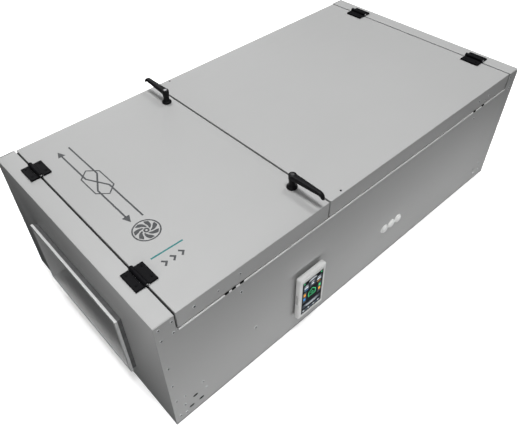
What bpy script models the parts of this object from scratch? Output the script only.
"""Flat heat recovery unit: two top hatches, a counterflow exchanger, two fans and four duct collars.

Metres, +Z up.  The origin is the middle of the casing's underside.  +X runs along the casing, from the
supply air end to the exhaust air end; -Y is the service side with the cable grommets.
"""
import math

import bmesh
import bpy
from mathutils import Matrix, Vector

# ---------------------------------------------------------------- driving dimensions
LENGTH, WIDTH, HEIGHT = 1.600, 0.831, 0.481
SHEET = 0.0015              # casing sheet thickness
FOLD = 0.003                # outer radius of the sheet folds
GAP = 0.0003                # clearance between pieces that touch
LID_DEPTH = 0.0585          # how far a hatch's skirt comes down
RIM_GAP = 0.0035            # shadow gap between the skirt and the casing's rim
RIM_WIDTH = 0.030           # inward return of the side panels
STRIP_NEAR, STRIP_FAR = 0.0583, 0.0555      # fixed top strips at the two ends
NEAR_SEAM_GAP, MID_SEAM_GAP, FAR_SEAM_GAP = 0.0060, 0.0050, 0.0025
MID_SEAM = -0.2071          # where the two hatches meet
HATCH_INSET = 0.0020        # how far a hatch's skirt stands back from the side panel's face
END_WALL = 0.058            # insulated thickness of the end walls
SIDE_WALL = 0.030           # insulated thickness of the side walls and the floor
INNER_TOP = 0.386           # top of everything that passes under the centre beam
DIVIDER_TOP = 0.4175        # top of the walls between the air chambers
OVERRUN = 0.0100            # overrun that lets a cutter pass clean through a wall

HINGE_Y, HINGE_WIDTH = 0.2715, 0.070
HINGE_AXIS_LIFT = 0.0078    # hinge axis above the top face
BARREL_R, HINGE_PIN_R, LEAF_THICK = 0.0072, 0.0032, 0.0058
LEAF_SHORT, LEAF_LONG = 0.0315, 0.0342
LEAF_SCREW_EDGE, LEAF_SCREW_HALF_PITCH = 0.0105, 0.0215

CLAMP_X, CLAMP_Y = -0.240, 0.2985
ARM_REACH, ARM_R = 0.119, 0.0086
STUD_R, RECEIVER_R = 0.005, 0.0085
HUB_HEIGHT, SHOULDER, CAP_LOW = 0.0490, 0.0250, 0.0450
SPRING_R, SPRING_WIRE, SPRING_TURNS = 0.0050, 0.00055, 4

DUCT_WIDTH, DUCT_HEIGHT, DUCT_FLANGE, DUCT_PROUD = 0.460, 0.230, 0.010, 0.021
FLANGE_DEPTH, FLANGE_SHEET = 0.0075, 0.0018
DUCT_Z = 0.211              # middle of every duct opening
SIDE_DUCT_WIDTH, SIDE_DUCT_X = 0.250, 0.355

CORE_HALF, CORE_FLAT_HALF, CORE_Y = 0.300, 0.130, 0.250     # hexagonal exchanger in plan
CORE_LOW, CORE_HIGH = 0.056, 0.306
CHANNELS = 9                # open layers of one air stream

FAN_X, FAN_Y, FAN_Z = 0.500, -0.167, 0.2245
WHEEL_R, THROAT_R, WHEEL_DEPTH, BLADES = 0.125, 0.078, 0.085, 7

GROMMET_X, GROMMET_Z, GROMMET_R = (0.104, 0.1415, 0.178), 0.150, 0.0172
GROMMET_HOLE_R, GROMMET_PROUD = 0.0115, 0.0080

PANEL_X, PANEL_Z, PANEL_W, PANEL_H, PANEL_D = -0.285, 0.175, 0.112, 0.190, 0.020
WINDOW_HALF_W, WINDOW_LOW, WINDOW_HIGH, WINDOW_DEPTH = 0.0445, 0.0790, 0.0760, 0.0035
HOLDER_HALF_W, HOLDER_HALF_H, HOLDER_D = 0.036, 0.052, 0.006

RIM_Z = HEIGHT - LID_DEPTH - RIM_GAP
NEAR_FACE, FAR_FACE = -LENGTH / 2, LENGTH / 2
HALF_W = WIDTH / 2
HATCH_HALF_W = HALF_W - HATCH_INSET
SKIN_Y = HALF_W - SHEET - GAP               # inner limit of what stands between the side skins
RIM_Y = HALF_W - RIM_WIDTH - GAP            # inner limit of what stands between the rims
SIDE_INNER = HALF_W - SIDE_WALL - GAP       # inside face of the liner's side walls
FLOOR = SIDE_WALL + GAP                     # inside face of the liner's floor
CORNER_CUT = FOLD - SHEET + 0.0006          # chamfer that clears the round inside a sheet fold
HALF_PI = math.pi / 2
SMALL_LID = (NEAR_FACE + STRIP_NEAR + NEAR_SEAM_GAP, MID_SEAM - MID_SEAM_GAP / 2)
LARGE_LID = (MID_SEAM + MID_SEAM_GAP / 2, FAR_FACE - STRIP_FAR - FAR_SEAM_GAP)
NEAR_HINGE_X = NEAR_FACE + STRIP_NEAR + NEAR_SEAM_GAP / 2
FAR_HINGE_X = FAR_FACE - STRIP_FAR - FAR_SEAM_GAP / 2
HINGE_Z = HEIGHT + HINGE_AXIS_LIFT
BEAM = (-0.2650, -0.1550)

for old in list(bpy.data.objects):
    bpy.data.objects.remove(old, do_unlink=True)

unit = bpy.data.collections.new("heat_recovery_unit")
cutters = bpy.data.collections.new("cutters")
bpy.context.scene.collection.children.link(unit)
bpy.context.scene.collection.children.link(cutters)


# ---------------------------------------------------------------- materials
def material(name, colour, roughness, metallic=0.0):
    mat = bpy.data.materials.new(name)
    mat.use_nodes = True
    shader = mat.node_tree.nodes["Principled BSDF"]
    shader.inputs["Base Color"].default_value = (*colour, 1.0)
    shader.inputs["Roughness"].default_value = roughness
    shader.inputs["Metallic"].default_value = metallic
    return mat


PAINT = material("casing_paint", (0.60, 0.61, 0.61), 0.42)
GALVANISED = material("galvanised_sheet", (0.62, 0.63, 0.64), 0.38, 0.9)
STEEL = material("bright_steel", (0.72, 0.72, 0.73), 0.25, 1.0)
NYLON = material("black_nylon", (0.022, 0.022, 0.024), 0.5)
RUBBER = material("black_rubber", (0.03, 0.03, 0.03), 0.8)
WOOL = material("mineral_wool", (0.42, 0.38, 0.27), 0.95)
ALUMINIUM = material("exchanger_foil", (0.75, 0.76, 0.77), 0.35, 1.0)
FILTER = material("filter_media", (0.86, 0.87, 0.88), 0.9)
WHITE = material("white_plastic", (0.86, 0.86, 0.85), 0.4)
GREY = material("grey_plastic", (0.35, 0.36, 0.38), 0.5)
SCREEN = material("screen_glass", (0.012, 0.014, 0.018), 0.08)
BUSH = material("pale_bush", (0.78, 0.78, 0.76), 0.5)


# ---------------------------------------------------------------- modelling helpers
def add(name, bm, mat=None, centre=(0, 0, 0)):
    """Turn a bmesh into a named object: a part when it has a material, a hidden cutter when it has none."""
    mesh = bpy.data.meshes.new(name)
    bm.to_mesh(mesh)
    bm.free()
    obj = bpy.data.objects.new(name, mesh)
    obj.location = centre
    if mat:
        mesh.materials.append(mat)
        unit.objects.link(obj)
    else:
        cutters.objects.link(obj)
        obj.hide_render = True
        obj.display_type = "WIRE"
    return obj


def box(name, low, high, mat=None):
    """A block between two corners, its origin at its middle."""
    low, high = Vector(low), Vector(high)
    bm = bmesh.new()
    bmesh.ops.create_cube(bm, size=1.0)
    bmesh.ops.scale(bm, vec=high - low, verts=bm.verts)
    return add(name, bm, mat, (low + high) / 2)


def drum(name, radius, start, end, mat=None, segments=24, far_radius=None):
    """A cylinder or cone from one point to another."""
    start, end = Vector(start), Vector(end)
    bm = bmesh.new()
    bmesh.ops.create_cone(bm, cap_ends=True, segments=segments, radius1=radius,
                          radius2=radius if far_radius is None else far_radius, depth=(end - start).length)
    obj = add(name, bm, mat, (start + end) / 2)
    obj.rotation_mode = "QUATERNION"
    obj.rotation_quaternion = (end - start).to_track_quat("Z", "Y")
    return obj


def prism(name, outline, low, high, mat=None):
    """A flat outline in plan, raised from one height to another."""
    bm = bmesh.new()
    face = bm.faces.new([bm.verts.new((x, y, low)) for x, y in outline])
    lifted = bmesh.ops.extrude_face_region(bm, geom=[face])
    bmesh.ops.translate(bm, vec=(0, 0, high - low),
                        verts=[v for v in lifted["geom"] if isinstance(v, bmesh.types.BMVert)])
    bmesh.ops.recalc_face_normals(bm, faces=bm.faces)
    return add(name, bm, mat)


def turned(name, profile, centre, mat=None, steps=32):
    """A closed (radius, height) profile turned about a vertical axis."""
    bm = bmesh.new()
    points = [bm.verts.new((r, 0, z)) for r, z in profile]
    for a, b in zip(points, points[1:]):
        bm.edges.new((a, b))
    if profile[0][0] > 0 and profile[-1][0] > 0:
        bm.edges.new((points[-1], points[0]))
    obj = add(name, bm, mat, centre)
    screw = obj.modifiers.new("turn", "SCREW")
    screw.steps = screw.render_steps = steps
    screw.use_merge_vertices = True
    screw.merge_threshold = 0.00001
    return obj


def boolean(obj, operation, *tools):
    for tool in tools:
        step = obj.modifiers.new(operation.lower(), "BOOLEAN")
        step.operation = operation
        step.solver = "EXACT"
        step.object = tool
    return obj


def cut(obj, *tools):
    return boolean(obj, "DIFFERENCE", *tools)


def join(obj, *tools):
    return boolean(obj, "UNION", *tools)


def bevel(obj, width, segments=2, angle=40):
    step = obj.modifiers.new("bevel", "BEVEL")
    step.width = width
    step.segments = segments
    step.limit_method = "ANGLE"
    step.angle_limit = math.radians(angle)
    return obj


def tray(name, low, high, open_side, mat, sheet=SHEET, fold=FOLD):
    """A folded sheet box with one side left open; its outside is the given block."""
    obj = box(name, low, high, mat)
    direction = Vector(open_side)
    bm = bmesh.new()
    bm.from_mesh(obj.data)
    bmesh.ops.delete(bm, geom=[f for f in bm.faces if f.normal.dot(direction) > 0.9], context="FACES")
    bm.to_mesh(obj.data)
    bm.free()
    if fold:
        bevel(obj, fold)
    shell = obj.modifiers.new("sheet", "SOLIDIFY")
    shell.thickness = sheet
    shell.offset = -1
    shell.use_even_offset = True
    return obj


def smooth(obj, angle=35):
    obj.data.shade_smooth()
    obj.data.set_sharp_from_angle(angle=math.radians(angle))
    return obj


def hang_on(parent, *children):
    for child in children:
        child.parent = parent
        child.matrix_parent_inverse = Matrix.Translation(-parent.location)


def pivot(name, point):
    """An empty on a joint's axis, which the pieces that move together are parented to."""
    empty = bpy.data.objects.new(name, None)
    empty.location = point
    unit.objects.link(empty)
    return empty


# ---------------------------------------------------------------- casing
def side_panel(name, side):
    """Outer skin with a rim under the hatches, a bottom return and a full-height tab at each end."""
    outer, skin, inner = side * HALF_W, side * (HALF_W - SHEET), side * (HALF_W - RIM_WIDTH)
    low_y, high_y = sorted((outer, inner))
    hollow_low_y, hollow_high_y = sorted((skin, inner - side * OVERRUN))
    panel = box(name, (NEAR_FACE, low_y, 0), (FAR_FACE, high_y, RIM_Z), PAINT)
    cut(panel, box(name + "_pocket", (NEAR_FACE - OVERRUN, hollow_low_y, SHEET),
                   (FAR_FACE + OVERRUN, hollow_high_y, RIM_Z - SHEET)))
    low_tab_y, high_tab_y = sorted((outer, skin))
    for label, face, strip in (("near", NEAR_FACE, STRIP_NEAR), ("far", FAR_FACE, -STRIP_FAR)):
        low_x, high_x = sorted((face, face + strip))
        join(panel, box(f"{name}_{label}_tab", (low_x, low_tab_y, RIM_Z - 2 * SHEET),
                        (high_x, high_tab_y, HEIGHT)))
        low_x, high_x = sorted((face - math.copysign(OVERRUN, strip), face + strip))
        cut(panel, box(f"{name}_{label}_notch", (low_x, hollow_low_y, RIM_Z - OVERRUN),
                       (high_x, hollow_high_y, RIM_Z + OVERRUN)))
    return panel


front_panel = side_panel("front_side_panel", -1)
rear_panel = side_panel("rear_side_panel", 1)

near_panel = tray("near_end_panel", (NEAR_FACE, -SKIN_Y, 0), (NEAR_FACE + STRIP_NEAR, SKIN_Y, HEIGHT),
                  (1, 0, 0), PAINT)
far_panel = tray("far_end_panel", (FAR_FACE - STRIP_FAR, -SKIN_Y, 0), (FAR_FACE, SKIN_Y, HEIGHT),
                 (-1, 0, 0), PAINT)
# The bottom returns of the side panels pass under the ends, so the end panels are notched for them.
for panel, low_x, high_x in ((near_panel, NEAR_FACE, NEAR_FACE + STRIP_NEAR),
                             (far_panel, FAR_FACE - STRIP_FAR, FAR_FACE)):
    for side in (-1, 1):
        low_y, high_y = sorted((side * RIM_Y, side * (HALF_W + OVERRUN)))
        cut(panel, box(f"{panel.name}_foot_{side}", (low_x - OVERRUN, low_y, -OVERRUN),
                       (high_x + OVERRUN, high_y, SHEET + GAP)))

BASE_LIP = 0.012
base_panel = tray("base_panel", (NEAR_FACE + STRIP_NEAR + GAP, -RIM_Y, 0),
                  (FAR_FACE - STRIP_FAR - GAP, RIM_Y, BASE_LIP), (0, 0, 1), PAINT, fold=0)

RAIL_WALL, LEDGE_INWARD, LEDGE_LAP = 0.002, 0.028, 0.004
RAIL_TOP = HEIGHT - SHEET - GAP


def top_rail(name, end, strip):
    """Square tube behind a fixed top strip, with the ledge that a hatch's gasket closes on."""
    outer = end * (LENGTH / 2 - SHEET - GAP)
    inner = end * (LENGTH / 2 - strip)
    x0, x1 = sorted((outer, inner))
    half_y = SKIN_Y - FOLD
    rail = box(name, (x0, -half_y, RIM_Z + GAP), (x1, half_y, RAIL_TOP), GALVANISED)
    bevel(rail, CORNER_CUT, 1)
    cut(rail, box(name + "_bore", (x0 + RAIL_WALL, -HALF_W, RIM_Z + GAP + RAIL_WALL),
                  (x1 - RAIL_WALL, HALF_W, RAIL_TOP - RAIL_WALL)))
    ledge_x = sorted((inner + end * LEDGE_LAP, inner - end * LEDGE_INWARD))
    join(rail, box(name + "_ledge", (ledge_x[0], -RIM_Y, RIM_Z - SHEET), (ledge_x[1], RIM_Y, RIM_Z + 0.0005)))
    return rail


top_rail("near_top_rail", -1, STRIP_NEAR)
top_rail("far_top_rail", 1, STRIP_FAR)

centre_beam = tray("centre_beam", (BEAM[0], -RIM_Y, INNER_TOP + 0.001), (BEAM[1], RIM_Y, RIM_Z),
                   (0, 0, -1), GALVANISED, sheet=0.002)
for side in (-1, 1):
    hole = (CLAMP_X, side * CLAMP_Y)
    cut(centre_beam, drum(f"receiver_{side}", RECEIVER_R, (*hole, RIM_Z - OVERRUN), (*hole, RIM_Z + OVERRUN),
                          segments=20))

# ---------------------------------------------------------------- insulated liner
TUB_END, TUB_SIDE = 0.0025, 0.0042          # how far the insulation stays inside the casing's faces
liner = box("insulation_liner", (NEAR_FACE + TUB_END, -HALF_W + TUB_SIDE, BASE_LIP + SHEET),
            (FAR_FACE - TUB_END, HALF_W - TUB_SIDE, RIM_Z - TUB_END), WOOL)
cut(liner, box("liner_hollow", (NEAR_FACE + END_WALL, -HALF_W + SIDE_WALL, SIDE_WALL),
               (FAR_FACE - END_WALL, HALF_W - SIDE_WALL, HEIGHT)))


# ---------------------------------------------------------------- duct collars
def collar(name, width, place, turn, wall):
    """Rectangular spigot with a stiff flange proud of the casing, modelled facing -X and then turned."""
    half_w, half_h = width / 2, DUCT_HEIGHT / 2
    rim_w, rim_h = half_w + DUCT_FLANGE, half_h + DUCT_FLANGE
    loose = 0.004                                   # the wall's opening round the spigot
    neck = box(name, (-DUCT_PROUD, -half_w - SHEET, -half_h - SHEET), (wall, half_w + SHEET, half_h + SHEET),
               GALVANISED)
    flange = box(name + "_flange", (-DUCT_PROUD, -rim_w, -rim_h), (FLANGE_DEPTH - DUCT_PROUD, rim_w, rim_h))
    back = box(name + "_back", (FLANGE_SHEET - DUCT_PROUD, FLANGE_SHEET - rim_w, FLANGE_SHEET - rim_h),
               (OVERRUN, rim_w - FLANGE_SHEET, rim_h - FLANGE_SHEET))
    hole = box(name + "_hole", (-2 * DUCT_PROUD, -half_w, -half_h), (wall + OVERRUN, half_w, half_h))
    opening = box(name + "_opening", (-2 * DUCT_PROUD, -half_w - loose, -half_h - loose),
                  (wall + OVERRUN, half_w + loose, half_h + loose))
    frame = pivot(name + "_frame", place)
    frame.rotation_euler = (0, 0, turn)
    for piece in (neck, flange, back, hole, opening):
        piece.parent = frame
    cut(flange, back)
    join(neck, flange)
    cut(neck, hole)
    return opening


ducts = {
    "supply_collar": (DUCT_WIDTH, (NEAR_FACE, 0, DUCT_Z), 0.0, END_WALL, near_panel),
    "exhaust_collar": (DUCT_WIDTH, (FAR_FACE, 0, DUCT_Z), math.pi, END_WALL, far_panel),
    "extract_collar": (SIDE_DUCT_WIDTH, (-SIDE_DUCT_X, HALF_W, DUCT_Z), -HALF_PI, SIDE_WALL, rear_panel),
    "outdoor_collar": (SIDE_DUCT_WIDTH, (SIDE_DUCT_X, HALF_W, DUCT_Z), -HALF_PI, SIDE_WALL, rear_panel),
}
for name, (width, place, turn, wall, panel) in ducts.items():
    wall_opening = collar(name, width, place, turn, wall)
    cut(panel, wall_opening)
    cut(liner, wall_opening)


# ---------------------------------------------------------------- hatches
SEAL_WIDTH, SEAL_END_INSET, SEAL_SIDE_INSET = 0.012, 0.0045, 0.014
SEAL_LOW, SEAL_HIGH = RIM_Z + 0.0008, RIM_Z + 0.0122
PLUG_END_INSET, PLUG_SIDE_INSET = 0.024, 0.038      # the board's lower step, inside the gasket


def hatch(prefix, x0, x1, holes):
    """Folded skin, the insulation board inside it and the gasket frame underneath."""
    half_y = HATCH_HALF_W
    skin = tray(prefix + "_skin", (x0, -half_y, HEIGHT - LID_DEPTH), (x1, half_y, HEIGHT), (0, 0, -1), PAINT)
    inset = SHEET + GAP
    board = box(prefix + "_insulation", (x0 + inset, inset - half_y, SEAL_HIGH + GAP),
                (x1 - inset, half_y - inset, HEIGHT - inset), WOOL)
    bevel(board, CORNER_CUT, 1)
    join(board, box(prefix + "_plug", (x0 + PLUG_END_INSET, PLUG_SIDE_INSET - half_y, RIM_Z + 0.001),
                    (x1 - PLUG_END_INSET, half_y - PLUG_SIDE_INSET, SEAL_HIGH + OVERRUN)))
    seal_x, seal_y = (x0 + SEAL_END_INSET, x1 - SEAL_END_INSET), half_y - SEAL_SIDE_INSET
    seal = box(prefix + "_gasket", (seal_x[0], -seal_y, SEAL_LOW), (seal_x[1], seal_y, SEAL_HIGH), RUBBER)
    cut(seal, box(prefix + "_gasket_inner", (seal_x[0] + SEAL_WIDTH, SEAL_WIDTH - seal_y, SEAL_LOW - OVERRUN),
                  (seal_x[1] - SEAL_WIDTH, seal_y - SEAL_WIDTH, SEAL_HIGH + OVERRUN)))
    for x, y in holes:
        above, below = (x, y, HEIGHT + OVERRUN), (x, y, RIM_Z - OVERRUN)
        cut(skin, drum(f"{prefix}_hole_{y}", STUD_R + 0.001, below, above, segments=16))
        cut(board, drum(f"{prefix}_bore_{y}", STUD_R + 0.002, below, above, segments=16))
    return skin, board, seal


small_hatch = hatch("small_hatch", *SMALL_LID, [(CLAMP_X, CLAMP_Y), (CLAMP_X, -CLAMP_Y)])
large_hatch = hatch("large_hatch", *LARGE_LID, [])
near_axis = pivot("small_hatch_axis", (NEAR_HINGE_X, 0, HINGE_Z))
far_axis = pivot("large_hatch_axis", (FAR_HINGE_X, 0, HINGE_Z))
hang_on(near_axis, *small_hatch)
hang_on(far_axis, *large_hatch)


# ---------------------------------------------------------------- hinges
HALF_HINGE = HINGE_WIDTH / 2
OUTER_KNUCKLES = ((-HALF_HINGE, -HALF_HINGE / 2), (HALF_HINGE / 2, HALF_HINGE))     # spans across the hinge
MIDDLE_KNUCKLE = ((-HALF_HINGE / 2, HALF_HINGE / 2),)
LEAF_TOP = HEIGHT + GAP + LEAF_THICK


def hinge_leaf(name, x_axis, y, direction, reach, spans, others):
    """Moulded leaf with its own knuckles, relieved where the other leaf's knuckles turn."""
    edge = sorted((x_axis, x_axis + direction * reach))
    leaf = box(name, (edge[0], y - HALF_HINGE, HEIGHT + GAP), (edge[1], y + HALF_HINGE, LEAF_TOP), NYLON)
    bevel(leaf, 0.0012, 1)
    relief_x = sorted((x_axis - direction * OVERRUN, x_axis + direction * (BARREL_R + 0.0012)))
    for low, high in others:
        cut(leaf, box(f"{name}_relief_{low}", (relief_x[0], y + low - GAP, HEIGHT - OVERRUN),
                      (relief_x[1], y + high + GAP, HINGE_Z + 2 * OVERRUN)))
    for low, high in spans:
        join(leaf, drum(f"{name}_knuckle_{low}", BARREL_R, (x_axis, y + low + GAP, HINGE_Z),
                        (x_axis, y + high - GAP, HINGE_Z), segments=20))
    cut(leaf, drum(name + "_bore", HINGE_PIN_R + GAP / 2, (x_axis, y - HINGE_WIDTH, HINGE_Z),
                   (x_axis, y + HINGE_WIDTH, HINGE_Z), segments=16))
    screw_x = x_axis + direction * (reach - LEAF_SCREW_EDGE)
    for screw_y in (y - LEAF_SCREW_HALF_PITCH, y + LEAF_SCREW_HALF_PITCH):
        cut(leaf, drum(f"{name}_sink_{screw_y:.3f}", 0.0024, (screw_x, screw_y, HEIGHT + 0.002),
                       (screw_x, screw_y, LEAF_TOP + 0.0005), segments=14, far_radius=0.0056))
    return leaf


def hinge(prefix, x_axis, y, lid_direction, axis_empty):
    hinge_leaf(prefix + "_fixed_leaf", x_axis, y, -lid_direction, LEAF_SHORT, OUTER_KNUCKLES, MIDDLE_KNUCKLE)
    lid_leaf = hinge_leaf(prefix + "_lid_leaf", x_axis, y, lid_direction, LEAF_LONG, MIDDLE_KNUCKLE,
                          OUTER_KNUCKLES)
    half_pin = HALF_HINGE + 0.0012
    pin = drum(prefix + "_pin", HINGE_PIN_R, (x_axis, y - half_pin, HINGE_Z), (x_axis, y + half_pin, HINGE_Z),
               STEEL, segments=16)
    smooth(pin)
    hang_on(axis_empty, lid_leaf)


for place, y in (("front", -HINGE_Y), ("rear", HINGE_Y)):
    hinge("near_" + place + "_hinge", NEAR_HINGE_X, y, 1, near_axis)
    hinge("far_" + place + "_hinge", FAR_HINGE_X, y, -1, far_axis)


# ---------------------------------------------------------------- clamp levers
def mesh_of(curve_object, name):
    """The curve's shape as a welded mesh object in the same place, not yet in a collection."""
    evaluated = curve_object.evaluated_get(bpy.context.evaluated_depsgraph_get())
    mesh = bpy.data.meshes.new_from_object(evaluated)
    bm = bmesh.new()
    bm.from_mesh(mesh)
    bmesh.ops.remove_doubles(bm, verts=bm.verts, dist=0.00002)
    bmesh.ops.recalc_face_normals(bm, faces=bm.faces)
    bm.to_mesh(mesh)
    bm.free()
    obj = bpy.data.objects.new(name, mesh)
    obj.matrix_world = curve_object.matrix_world.copy()
    bpy.data.objects.remove(curve_object, do_unlink=True)
    return obj


def tube(name, points, radius, sides=2, radii=None):
    """A curve with round section through the points, its ends capped."""
    data = bpy.data.curves.new(name, "CURVE")
    data.dimensions = "3D"
    data.bevel_depth = radius
    data.bevel_resolution = sides
    data.use_fill_caps = True
    spline = data.splines.new("POLY")
    spline.points.add(len(points) - 1)
    for i, point in enumerate(points):
        spline.points[i].co = (*point, 1.0)
        spline.points[i].radius = radii[i] if radii else 1.0
    obj = bpy.data.objects.new(name, data)
    cutters.objects.link(obj)
    bpy.context.view_layer.update()
    return obj


def lever_arm(name, side):
    """The arm leaves the hub's head, rises a little on its way out and hooks down at its tip."""
    steps, tip_start = 12, 0.84
    points, radii = [], []
    for i in range(steps + 1):
        t = i / steps
        tip = max(0.0, (t - tip_start) / (1 - tip_start))
        points.append((0, side * t * (ARM_REACH - ARM_R / 2), 0.0405 + 0.0050 * t - 0.0142 * tip ** 2))
        radii.append(1.0 - 0.28 * t)
    radii[-1] = 0.45
    arm = mesh_of(tube(name, points, ARM_R, 3, radii), name)
    cutters.objects.link(arm)
    arm.hide_render = True
    arm.display_type = "WIRE"
    return arm


def clamp(prefix, side, parent):
    """Clamping lever: toothed insert with stud and cap, handle that lifts off the teeth, and its spring."""
    base = (CLAMP_X, side * CLAMP_Y, HEIGHT + 0.0004)
    stud_end = RIM_Z - 0.012 - base[2]
    insert = turned(prefix + "_insert", [
        (0, HUB_HEIGHT), (0.0058, HUB_HEIGHT), (0.0066, HUB_HEIGHT - 0.0008), (0.0066, CAP_LOW),
        (0.0030, CAP_LOW), (0.0030, 0.0195), (0.0078, 0.0195), (0.0078, 0.0006), (STUD_R, 0.0006),
        (STUD_R, stud_end + 0.0015), (STUD_R - 0.0015, stud_end), (0, stud_end)], base, STEEL, 20)
    handle = turned(prefix + "_handle", [
        (0.0020, 0.0483), (0.0102, 0.0483), (0.0114, 0.0470), (0.0114, 0.0320), (0.0098, 0.0190),
        (0.0106, 0.0105), (0.0150, 0.0062), (0.0165, 0.0035), (0.0165, 0.0008), (0.0020, 0.0008)],
        base, NYLON, 24)
    arm = lever_arm(prefix + "_arm", side)
    arm.location = base
    bore = turned(prefix + "_bore", [
        (0, 0.0600), (0.0072, 0.0600), (0.0072, SHOULDER), (0.0034, SHOULDER), (0.0034, SHOULDER - 0.0008),
        (0.0082, SHOULDER - 0.0008), (0.0082, -0.0050), (0, -0.0050)], base, None, 20)
    join(handle, arm)
    cut(handle, bore)
    coil = []
    per_turn = 10
    steps = SPRING_TURNS * per_turn
    rise = CAP_LOW - SHOULDER - 2 * SPRING_WIRE - 2 * GAP
    for i in range(steps + 1):
        angle = 2 * math.pi * i / per_turn
        z = SHOULDER + SPRING_WIRE + GAP + rise * i / steps
        coil.append((SPRING_R * math.cos(angle), SPRING_R * math.sin(angle), z))
    spring = mesh_of(tube(prefix + "_coil", coil, SPRING_WIRE, 0), prefix + "_spring")
    spring.location = base
    spring.data.materials.append(STEEL)
    unit.objects.link(spring)
    hang_on(parent, insert, handle, spring)
    smooth(insert)
    smooth(handle)


clamp("front_clamp", -1, near_axis)
clamp("rear_clamp", 1, near_axis)

# ---------------------------------------------------------------- exchanger and its surroundings
HEXAGON = [(-CORE_HALF, 0), (-CORE_FLAT_HALF, -CORE_Y), (CORE_FLAT_HALF, -CORE_Y), (CORE_HALF, 0),
           (CORE_FLAT_HALF, CORE_Y), (-CORE_FLAT_HALF, CORE_Y)]
PORT_RUN, PORT_RISE = CORE_HALF - CORE_FLAT_HALF, CORE_Y
PORT_LENGTH = math.hypot(PORT_RUN, PORT_RISE)


def port_frame(x_sign, y_sign):
    """Middle of a slanted air face, its outward direction and its direction along the face, in plan."""
    middle = Vector((x_sign * (CORE_HALF + CORE_FLAT_HALF) / 2, y_sign * CORE_Y / 2, 0))
    along = Vector((-x_sign * PORT_RUN, y_sign * PORT_RISE, 0)).normalized()
    outward = Vector((x_sign * PORT_RISE, y_sign * PORT_RUN, 0)).normalized()
    return middle, outward, along


def slotted_faces():
    """Cutter with the open channels of the four air faces, alternate layers for the two air streams."""
    bm = bmesh.new()
    solid_end = 0.010                               # unslotted height at the top and at the bottom
    pitch = (CORE_HIGH - CORE_LOW - 2 * solid_end) / (2 * CHANNELS)
    for x_sign in (-1, 1):
        for y_sign in (-1, 1):
            middle, outward, along = port_frame(x_sign, y_sign)
            turn = Matrix((outward, along, Vector((0, 0, 1)))).transposed().to_4x4()
            layer = 0 if x_sign * y_sign > 0 else 1
            size = Matrix.Diagonal((0.060, PORT_LENGTH - 0.030, pitch * 0.8, 1))
            for k in range(CHANNELS):
                z = CORE_LOW + solid_end + pitch * (2 * k + layer + 0.5)
                spot = Matrix.Translation(middle + Vector((0, 0, z)))
                bmesh.ops.create_cube(bm, size=1.0, matrix=spot @ turn @ size)
    return add("exchanger_channels", bm)


core = prism("exchanger_core", HEXAGON, CORE_LOW, CORE_HIGH, ALUMINIUM)
cut(core, slotted_faces())


def scaled_hexagon(factor_x, factor_y):
    return [(x * factor_x, y * factor_y) for x, y in HEXAGON]


# Bypass duct above the core: closed on two faces and the long sides, open on the extract and exhaust faces.
DUCT_SHEET = 0.002
HALF_PORT = PORT_LENGTH / 2
MOUTH_HALF_H, MOUTH_INSET = 0.033, 0.022
bypass = prism("bypass_duct", HEXAGON, CORE_HIGH + GAP, INNER_TOP, GALVANISED)
inside = scaled_hexagon(1 - 1.2 * DUCT_SHEET / CORE_HALF, 1 - DUCT_SHEET / CORE_Y)
cut(bypass, prism("bypass_hollow", inside, CORE_HIGH + GAP + DUCT_SHEET, INNER_TOP - DUCT_SHEET))
DAMPER_Z = (CORE_HIGH + INNER_TOP) / 2
for x_sign, y_sign in ((-1, 1), (1, -1)):
    middle, outward, along = port_frame(x_sign, y_sign)
    mouth = box(f"bypass_mouth_{x_sign}", (-0.03, MOUTH_INSET - HALF_PORT, -MOUTH_HALF_H),
                (0.03, HALF_PORT - MOUTH_INSET, MOUTH_HALF_H))
    mouth.location = middle + Vector((0, 0, DAMPER_Z))
    mouth.rotation_euler = (0, 0, math.atan2(outward.y, outward.x))
    cut(bypass, mouth)

DAMPER_OUT = 0.0045         # the shaft runs just outside the duct's wall
SHAFT_R, DAMPER_HALF_H, DAMPER_INSET, DAMPER_HALF_THICK = 0.0030, 0.0325, 0.024, 0.0015
damper_middle, damper_outward, _ = port_frame(-1, 1)
damper_axis = pivot("damper_axis", damper_middle + damper_outward * DAMPER_OUT + Vector((0, 0, DAMPER_Z)))
damper_axis.rotation_euler = (0, 0, math.atan2(damper_outward.y, damper_outward.x))
blade = box("bypass_damper", (-DAMPER_HALF_THICK, DAMPER_INSET - HALF_PORT, -DAMPER_HALF_H),
            (DAMPER_HALF_THICK, HALF_PORT - DAMPER_INSET, DAMPER_HALF_H), GALVANISED)
shaft = drum("damper_shaft", SHAFT_R, (0, -HALF_PORT - 0.008, 0), (0, HALF_PORT - 0.010, 0), segments=12)
join(blade, shaft)
actuator = box("damper_actuator", (GAP - DAMPER_OUT, -HALF_PORT - 0.012, -0.030),
               (0.034, 0.011 - HALF_PORT, 0.030), GREY)
actuator_bore = drum("actuator_bore", SHAFT_R + GAP, (0, -HALF_PORT - 0.05, 0), (0, 0.05 - HALF_PORT, 0),
                     segments=12)
bevel(actuator, 0.002, 1)
cut(actuator, actuator_bore)
lug_bore = drum("lug_bore", SHAFT_R + GAP, (0, 0.005 - HALF_PORT, 0), (0, HALF_PORT - 0.005, 0), segments=12)
for piece in (blade, shaft, actuator, actuator_bore, lug_bore):
    piece.parent = damper_axis
for end in (-1, 1):
    lug_y = sorted((end * (HALF_PORT - 0.0155), end * (HALF_PORT - 0.0200)))
    lug = box(f"damper_lug_{end}", (-0.0055, lug_y[0], -0.007), (0.0065, lug_y[1], 0.007))
    lug.parent = damper_axis
    join(bypass, lug)
cut(bypass, lug_bore)

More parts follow.
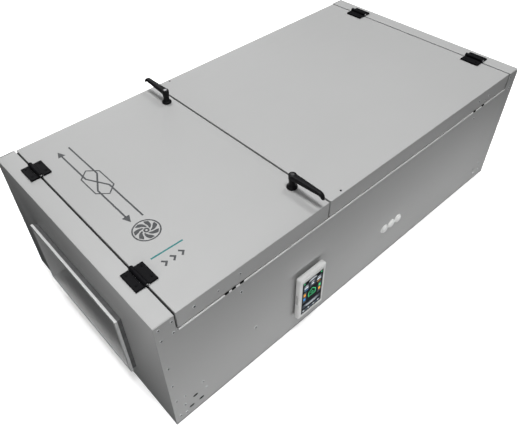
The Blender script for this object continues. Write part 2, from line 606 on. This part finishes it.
# Condensate pan under the core, with a spigot down through the floor.
DRAIN, SPIGOT_R, SPIGOT_BORE_R = (0.19, -0.16), 0.0125, 0.0105
PAN_HALF_X, PAN_HALF_Y = 0.315, 0.262
pan = tray("drain_pan", (-PAN_HALF_X, -PAN_HALF_Y, FLOOR), (PAN_HALF_X, PAN_HALF_Y, CORE_LOW + 0.008),
           (0, 0, 1), GALVANISED, sheet=0.0012, fold=0)
cut(pan, prism("core_seat", scaled_hexagon(1.01, 1.01), CORE_LOW - GAP, CORE_HIGH))
join(pan, drum("spigot", SPIGOT_R, (*DRAIN, 0.003), (*DRAIN, FLOOR + 0.001), segments=20))
cut(pan, drum("spigot_bore", SPIGOT_BORE_R, (*DRAIN, -OVERRUN), (*DRAIN, FLOOR + OVERRUN), segments=20))
for piece in (base_panel, liner):
    cut(piece, drum(piece.name + "_drain", SPIGOT_R + 0.001, (*DRAIN, -OVERRUN), (*DRAIN, FLOOR + OVERRUN),
                    segments=20))

PLATE_EDGE = 0.048          # where a fan plate ends and the divider starts


def divider(name, end):
    """Bent sheet between the two air chambers at one end, from the rear wall to the core's tip."""
    bend = (end * FAN_X, PLATE_EDGE + 0.004)
    path = [(end * FAN_X, SIDE_INNER), bend, (end * (CORE_HALF + 0.020), 0.001)]
    bm = bmesh.new()
    feet = [bm.verts.new((x, y, FLOOR)) for x, y in path]
    for a, b in zip(feet, feet[1:]):
        bm.edges.new((a, b))
    raised = bmesh.ops.extrude_edge_only(bm, edges=bm.edges[:])
    bmesh.ops.translate(bm, vec=(0, 0, DIVIDER_TOP - FLOOR),
                        verts=[v for v in raised["geom"] if isinstance(v, bmesh.types.BMVert)])
    wall = add(name, bm, GALVANISED)
    sheet = wall.modifiers.new("sheet", "SOLIDIFY")
    sheet.thickness = 0.002
    sheet.offset = 0
    sheet.use_even_offset = True


divider("near_divider", -1)
divider("far_divider", 1)


# ---------------------------------------------------------------- fans
WHEEL_LOW = 0.0180                          # start of the wheel above the plate
WHEEL_HIGH = WHEEL_LOW + WHEEL_DEPTH
MOTOR_R, SHAFT_END_R, MOTOR_DEPTH = 0.048, 0.0080, 0.055
MOTOR_LOW, MOTOR_HIGH = WHEEL_HIGH + 0.004, WHEEL_HIGH + MOTOR_DEPTH
BRACKET_REACH = 0.150
PLATE_HALF = 0.001                          # half the plate's thickness


def bellmouth_profile():
    """Rolled inlet lip: flat rim, quarter turn inward and a short straight throat."""
    inner = [(THROAT_R + 0.012, PLATE_HALF), (THROAT_R + 0.003, 0.0080), (THROAT_R, 0.0180),
             (THROAT_R, 0.0260)]
    outer = [(THROAT_R + 0.0015, 0.0260), (THROAT_R + 0.0015, 0.0180), (THROAT_R + 0.005, 0.0095),
             (THROAT_R + 0.014, 0.0030)]
    rim = [(THROAT_R + 0.030, PLATE_HALF), (THROAT_R + 0.030, -PLATE_HALF)]
    return (rim + inner + outer)[::-1]


def wheel_blades(name, end):
    """Backward-curved blades from the shroud to the hub plate, as thin sheets."""
    arc_steps, inner_r, outer_r = 5, 0.060, WHEEL_R - 0.001
    shroud_start, shroud_slope = THROAT_R + 0.014, 0.41
    bm = bmesh.new()
    for b in range(BLADES):
        row = []
        for i in range(arc_steps + 1):
            t = i / arc_steps
            radius = inner_r + (outer_r - inner_r) * t
            angle = 2 * math.pi * b / BLADES + end * 0.95 * t ** 0.8
            floor = WHEEL_LOW + 0.0035 + shroud_slope * (radius - shroud_start)
            if radius < THROAT_R + 0.008:
                floor = WHEEL_LOW + 0.010
            point = (radius * math.cos(angle), radius * math.sin(angle))
            row.append((bm.verts.new((*point, floor)), bm.verts.new((*point, WHEEL_HIGH - 0.0015))))
        for (low_a, high_a), (low_b, high_b) in zip(row, row[1:]):
            bm.faces.new((low_a, low_b, high_b, high_a))
    blades = add(name, bm)
    sheet = blades.modifiers.new("sheet", "SOLIDIFY")
    sheet.thickness = 0.0024
    sheet.offset = 0
    return blades


def motor_bracket(prefix, motor, frame):
    """Four arms from the motor's back, each with a strut down to a foot on the plate."""
    out = BRACKET_REACH
    bars = {"spoke": ((0.030, -0.0080, MOTOR_HIGH - 0.0120), (out, 0.0080, MOTOR_HIGH - 0.0090)),
            "strut": ((out - 0.004, -0.0075, 0.0014), (out - 0.001, 0.0075, MOTOR_HIGH - 0.0100)),
            "foot": ((out - 0.018, -0.0070, 0.0013), (out - 0.002, 0.0070, 0.0036))}
    for k in range(4):
        angle = math.radians(45 + 90 * k)
        for kind, (low, high) in bars.items():
            bar = box(f"{prefix}_{kind}_{k}", low, high)
            bar.location = Matrix.Rotation(angle, 3, "Z") @ bar.location
            bar.rotation_euler = (0, 0, angle)
            bar.parent = frame
            join(motor, bar)


def fan(prefix, end):
    """Plug fan on a plate: bellmouth plate, motor on a four-armed bracket, backward-curved wheel."""
    spot = Vector((end * FAN_X, FAN_Y, FAN_Z))
    frame = pivot(prefix + "_axis", spot)
    frame.rotation_euler = (0, end * HALF_PI, 0)     # local +Z points to the casing's end
    plate = box(prefix + "_plate", (-PLATE_HALF, -SIDE_INNER, FLOOR), (PLATE_HALF, PLATE_EDGE, DIVIDER_TOP),
                GALVANISED)
    plate.location.x = spot.x
    bellmouth = turned(prefix + "_bellmouth", bellmouth_profile(), (0, 0, 0), None, 24)
    opening = drum(prefix + "_opening", THROAT_R + 0.020, (0, 0, -OVERRUN), (0, 0, OVERRUN), segments=24)
    cut(plate, opening)
    join(plate, bellmouth)

    wheel = turned(prefix + "_impeller", [
        (SHAFT_END_R + 0.0005, WHEEL_HIGH), (WHEEL_R, WHEEL_HIGH), (WHEEL_R, WHEEL_HIGH - 0.003),
        (0.052, WHEEL_HIGH - 0.003), (0.046, WHEEL_HIGH - 0.012), (SHAFT_END_R + 0.0005, WHEEL_HIGH - 0.012)],
        (0, 0, 0), NYLON, 28)
    shroud = turned(prefix + "_shroud", [
        (WHEEL_R, WHEEL_LOW + 0.018), (WHEEL_R, WHEEL_LOW + 0.0155), (THROAT_R + 0.014, WHEEL_LOW + 0.002),
        (THROAT_R + 0.004, WHEEL_LOW - 0.002), (THROAT_R + 0.004, WHEEL_LOW + 0.0005),
        (THROAT_R + 0.013, WHEEL_LOW + 0.0050)], (0, 0, 0), None, 28)
    blades = wheel_blades(prefix + "_blades", end)
    join(wheel, blades, shroud)

    motor = turned(prefix + "_motor", [
        (0, MOTOR_HIGH), (MOTOR_R - 0.002, MOTOR_HIGH), (MOTOR_R, MOTOR_HIGH - 0.003), (MOTOR_R, MOTOR_LOW),
        (SHAFT_END_R, MOTOR_LOW), (SHAFT_END_R, WHEEL_HIGH - 0.018), (0, WHEEL_HIGH - 0.018)],
        (0, 0, 0), GREY, 24)
    motor_bracket(prefix, motor, frame)
    for piece in (bellmouth, opening, wheel, shroud, blades, motor):
        piece.parent = frame
    smooth(wheel)
    smooth(motor)


fan("supply_fan", -1)
fan("exhaust_fan", 1)

# ---------------------------------------------------------------- filters
FILTER_X, FILTER_Y, FILTER_WIDTH, FILTER_DEPTH = 0.325, 0.286, 0.330, 0.046
FILTER_FRAME, FILTER_LAP, PLEATS, PLEAT_INSET = 0.012, 0.002, 14, 0.006


def panel_filter(name, x_middle):
    """Frame with a zigzag of filter medium inside, standing across a rear inlet."""
    x0, x1 = x_middle - FILTER_WIDTH / 2, x_middle + FILTER_WIDTH / 2
    y0, y1 = FILTER_Y, FILTER_Y + FILTER_DEPTH
    low, high = FLOOR, INNER_TOP - 0.004
    frame = box(name, (x0, y0, low), (x1, y1, high), FILTER)
    cut(frame, box(name + "_window", (x0 + FILTER_FRAME, y0 - OVERRUN, low + FILTER_FRAME),
                   (x1 - FILTER_FRAME, y1 + OVERRUN, high - FILTER_FRAME)))
    lap = FILTER_FRAME - FILTER_LAP
    bm = bmesh.new()
    folds = []
    for i in range(2 * PLEATS + 1):
        x = x0 + lap + (FILTER_WIDTH - 2 * lap) * i / (2 * PLEATS)
        y = y0 + PLEAT_INSET if i % 2 else y1 - PLEAT_INSET
        folds.append((bm.verts.new((x, y, low + lap)), bm.verts.new((x, y, high - lap))))
    for (a, a_top), (b, b_top) in zip(folds, folds[1:]):
        bm.faces.new((a, b, b_top, a_top))
    medium = add(name + "_medium", bm)
    sheet = medium.modifiers.new("sheet", "SOLIDIFY")
    sheet.thickness = 0.0024
    sheet.offset = 0
    sheet.use_even_offset = True
    join(frame, medium)


panel_filter("extract_filter", -FILTER_X)
panel_filter("outdoor_filter", FILTER_X)

# ---------------------------------------------------------------- electrical pieces
CONTROL_X, CONTROL_Z, CONTROL_INNER_Y = (-0.150, 0.205), (0.080, 0.340), -0.270
ENTRY_MARGIN, ENTRY_HALF_H = 0.019, 0.018           # the cable entry's slot round the three grommets
LID_LAP, LID_THICK = 0.001, 0.0027
control_box = tray("control_box", (CONTROL_X[0], -SIDE_INNER, CONTROL_Z[0]),
                   (CONTROL_X[1], CONTROL_INNER_Y, CONTROL_Z[1]), (0, 0, 1), GREY, sheet=0.002, fold=0)
entry_x = (GROMMET_X[0] - ENTRY_MARGIN, GROMMET_X[2] + ENTRY_MARGIN)
cut(control_box, box("cable_entry", (entry_x[0], -SIDE_INNER - OVERRUN, GROMMET_Z - ENTRY_HALF_H),
                     (entry_x[1], OVERRUN - SIDE_INNER, GROMMET_Z + ENTRY_HALF_H)))
control_lid = box("control_box_lid", (CONTROL_X[0] - LID_LAP, -SIDE_INNER, CONTROL_Z[1] + GAP),
                  (CONTROL_X[1] + LID_LAP, CONTROL_INNER_Y + LID_LAP, CONTROL_Z[1] + GAP + LID_THICK), GREY)
bevel(control_lid, 0.0008, 1)

for index, x in enumerate(GROMMET_X, start=1):
    outside, inside = (x, -HALF_W - OVERRUN, GROMMET_Z), (x, OVERRUN - SIDE_INNER, GROMMET_Z)
    for panel in (front_panel, liner):
        cut(panel, drum(f"{panel.name}_entry_{index}", GROMMET_HOLE_R + GAP, outside, inside, segments=20))
    bush = turned(f"cable_grommet_{index}", [
        (0, GROMMET_PROUD), (0.0095, GROMMET_PROUD), (0.0138, GROMMET_PROUD - 0.0020), (0.0158, 0.0022),
        (GROMMET_R, 0.0014), (GROMMET_R, GAP), (GROMMET_HOLE_R, GAP), (GROMMET_HOLE_R, -0.006), (0, -0.006)],
        (x, -HALF_W, GROMMET_Z), BUSH, 24)
    bush.rotation_euler = (HALF_PI, 0, 0)
    smooth(bush)

# Room controller parked on a holder on the service side.
holder_back = -HALF_W - GAP
housing_back = holder_back - HOLDER_D - GAP
housing_front = housing_back - PANEL_D
holder = box("controller_holder", (PANEL_X - HOLDER_HALF_W, holder_back - HOLDER_D, PANEL_Z - HOLDER_HALF_H),
             (PANEL_X + HOLDER_HALF_W, holder_back, PANEL_Z + HOLDER_HALF_H), WHITE)
bevel(holder, 0.0015, 1)
housing = box("controller_housing", (PANEL_X - PANEL_W / 2, housing_front, PANEL_Z - PANEL_H / 2),
              (PANEL_X + PANEL_W / 2, housing_back, PANEL_Z + PANEL_H / 2), WHITE)
bevel(housing, 0.006, 3)
window_x = (PANEL_X - WINDOW_HALF_W, PANEL_X + WINDOW_HALF_W)
window_z = (PANEL_Z - WINDOW_LOW, PANEL_Z + WINDOW_HIGH)
cut(housing, box("controller_window", (window_x[0], housing_front - OVERRUN, window_z[0]),
                 (window_x[1], housing_front + WINDOW_DEPTH, window_z[1])))
screen = box("controller_screen", (window_x[0] + GAP, housing_front + 0.0006, window_z[0] + GAP),
             (window_x[1] - GAP, housing_front + WINDOW_DEPTH - GAP, window_z[1] - GAP), SCREEN)
controller = pivot("controller_slide", (PANEL_X, housing_back, PANEL_Z))
hang_on(controller, housing, screen)
